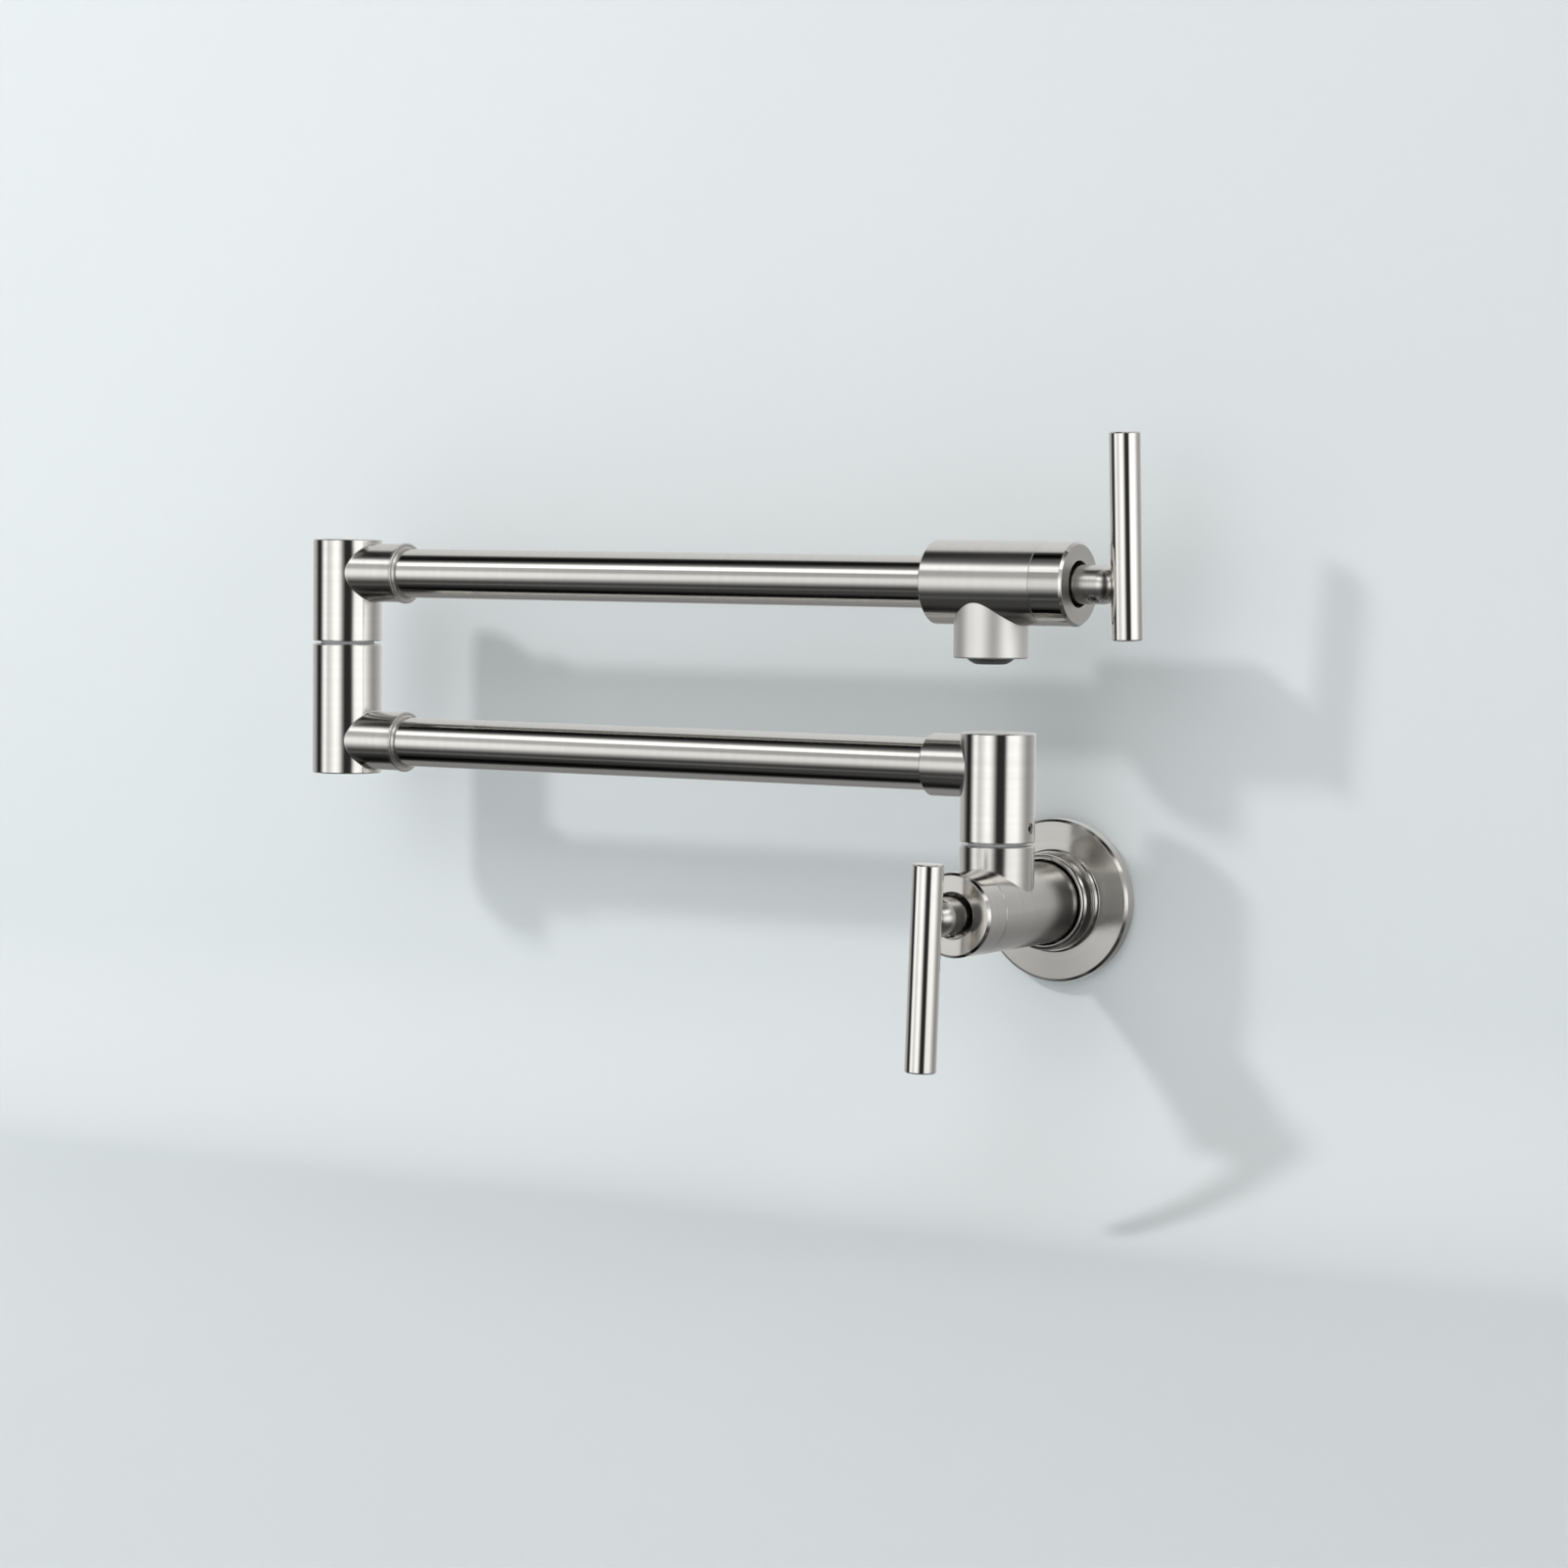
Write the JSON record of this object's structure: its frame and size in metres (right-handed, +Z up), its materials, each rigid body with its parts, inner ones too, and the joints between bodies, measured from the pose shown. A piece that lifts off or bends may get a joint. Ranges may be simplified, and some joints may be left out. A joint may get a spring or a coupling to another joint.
{
  "type": "pot filler",
  "caption": "Wall-mounted folding pot filler in brushed nickel: round flange, swivelling arms, quarter-turn T-bar valves at the wall and the spout, and a downward nozzle.",
  "frame": {"origin": "centre of the inlet thread's mouth, on the wall plane at the flange's back", "axes": "+Z up, +Y into the wall, -Y out of the wall; at rest the folded arms run along X"},
  "size_m": [0.3789, 0.1116, 0.2357],
  "materials": {
    "brushed_nickel": "brushed nickel plate",
    "polished_nickel": "polished nickel plate",
    "brass": "machined",
    "stainless_steel": "plain",
    "black_rubber": "moulded",
    "white_ptfe": "plain",
    "ceramic": "lapped",
    "black_plastic": "moulded"
  },
  "bodies": {
    "wall_valve": {"wall_flange": "brushed_nickel", "flange_gasket": "black_rubber", "flange_o_ring": "black_rubber", "inlet_body": "brushed_nickel", "shoulder_spigot": "brass", "shoulder_o_rings": "black_rubber", "shoulder_washer": "white_ptfe", "wall_cartridge_body": "brass", "wall_fixed_disc": "ceramic", "wall_seat_seal": "black_rubber", "wall_cartridge_o_ring": "black_rubber", "wall_bonnet": "brushed_nickel"},
    "wall_handle": {"wall_stem": "brass", "wall_moving_disc": "ceramic", "wall_handle_hub": "brushed_nickel", "wall_handle_bar": "polished_nickel", "wall_handle_grub_screw": "stainless_steel"},
    "lower_arm": {"shoulder_knuckle": "brushed_nickel", "shoulder_grub_screw": "stainless_steel", "lower_arm_tube": "brushed_nickel", "elbow_lower_knuckle": "brushed_nickel", "elbow_spigot": "brass", "elbow_o_rings": "black_rubber", "elbow_washer": "white_ptfe"},
    "upper_arm": {"elbow_upper_knuckle": "brushed_nickel", "elbow_grub_screw": "stainless_steel", "upper_arm_tube": "brushed_nickel", "spout_body": "brushed_nickel", "spout_cartridge_body": "brass", "spout_fixed_disc": "ceramic", "spout_seat_seal": "black_rubber", "spout_cartridge_o_ring": "black_rubber", "spout_bonnet": "brushed_nickel", "aerator_housing": "black_plastic", "aerator_screen": "black_plastic", "aerator_washer": "black_rubber"},
    "spout_handle": {"spout_stem": "brass", "spout_moving_disc": "ceramic", "spout_handle_hub": "brushed_nickel", "spout_handle_bar": "polished_nickel", "spout_handle_grub_screw": "stainless_steel"}
  },
  "joints": [
    {"name": "shoulder_swivel", "type": "hinge", "parent": "wall_valve", "child": "lower_arm", "pos_m": [0, -0.0521, 0.0254], "axis": [0, 0, 1], "range_deg": [0, 180]},
    {"name": "elbow_swivel", "type": "hinge", "parent": "lower_arm", "child": "upper_arm", "pos_m": [-0.306, -0.0521, 0.0944], "axis": [0, 0, -1], "continuous": true},
    {"name": "wall_handle_turn", "type": "hinge", "parent": "wall_valve", "child": "wall_handle", "pos_m": [0, -0.0726, 0], "axis": [0, -1, 0], "range_deg": [0, 90]},
    {"name": "spout_handle_turn", "type": "hinge", "parent": "upper_arm", "child": "spout_handle", "pos_m": [0.0197, -0.0521, 0.1226], "axis": [1, 0, 0], "range_deg": [0, 90]}
  ]
}
